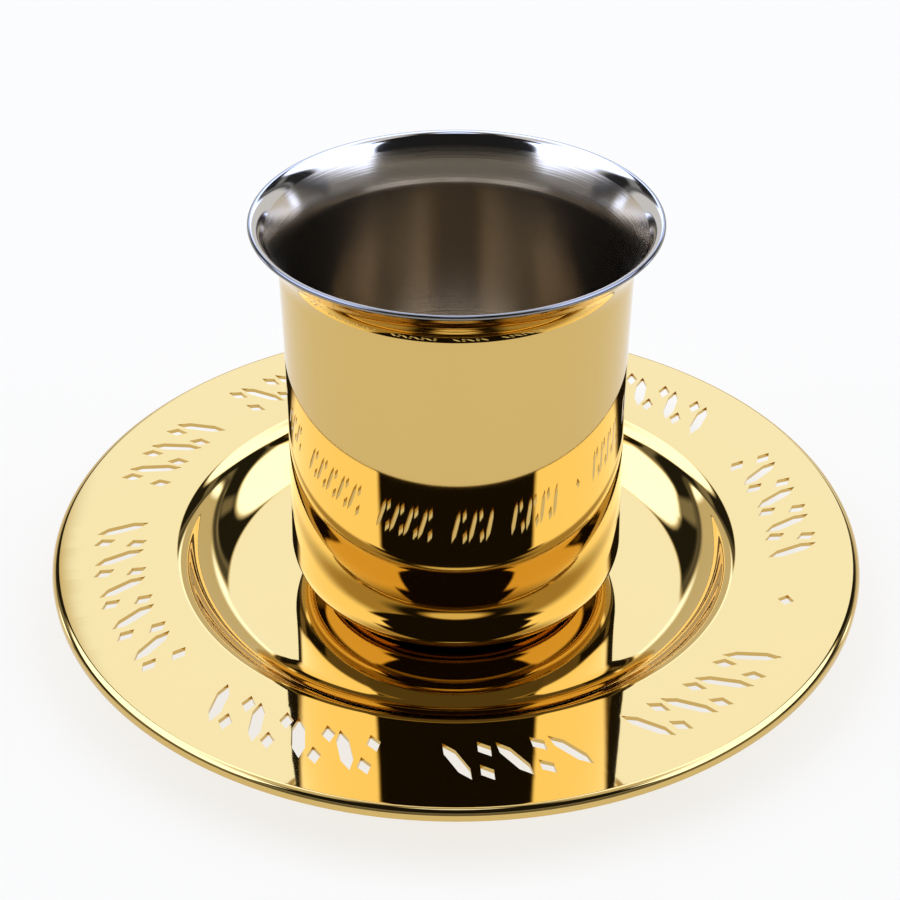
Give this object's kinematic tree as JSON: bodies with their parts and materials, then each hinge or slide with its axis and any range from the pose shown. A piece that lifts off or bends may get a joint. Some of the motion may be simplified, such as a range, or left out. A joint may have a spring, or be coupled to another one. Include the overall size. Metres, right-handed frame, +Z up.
{
  "type": "kiddush cup with saucer",
  "caption": "Straight-sided ceremonial wine cup with a flared lip, resting in the well of a broad saucer whose rim is pierced with a band of slanted strokes.",
  "frame": {"origin": "on the table, under the middle of the saucer", "axes": "+Z up along the common axis of cup and saucer, -Y to the front"},
  "size_m": [0.15, 0.15, 0.0749],
  "materials": {
    "saucer_gold": "mirror polished gold plate",
    "cup_gold": "mirror polished gold plate outside, bare steel inside, polished on the lip and satin below it"
  },
  "bodies": {
    "root": {"saucer": "saucer_gold", "cup": "cup_gold"}
  },
  "joints": []
}
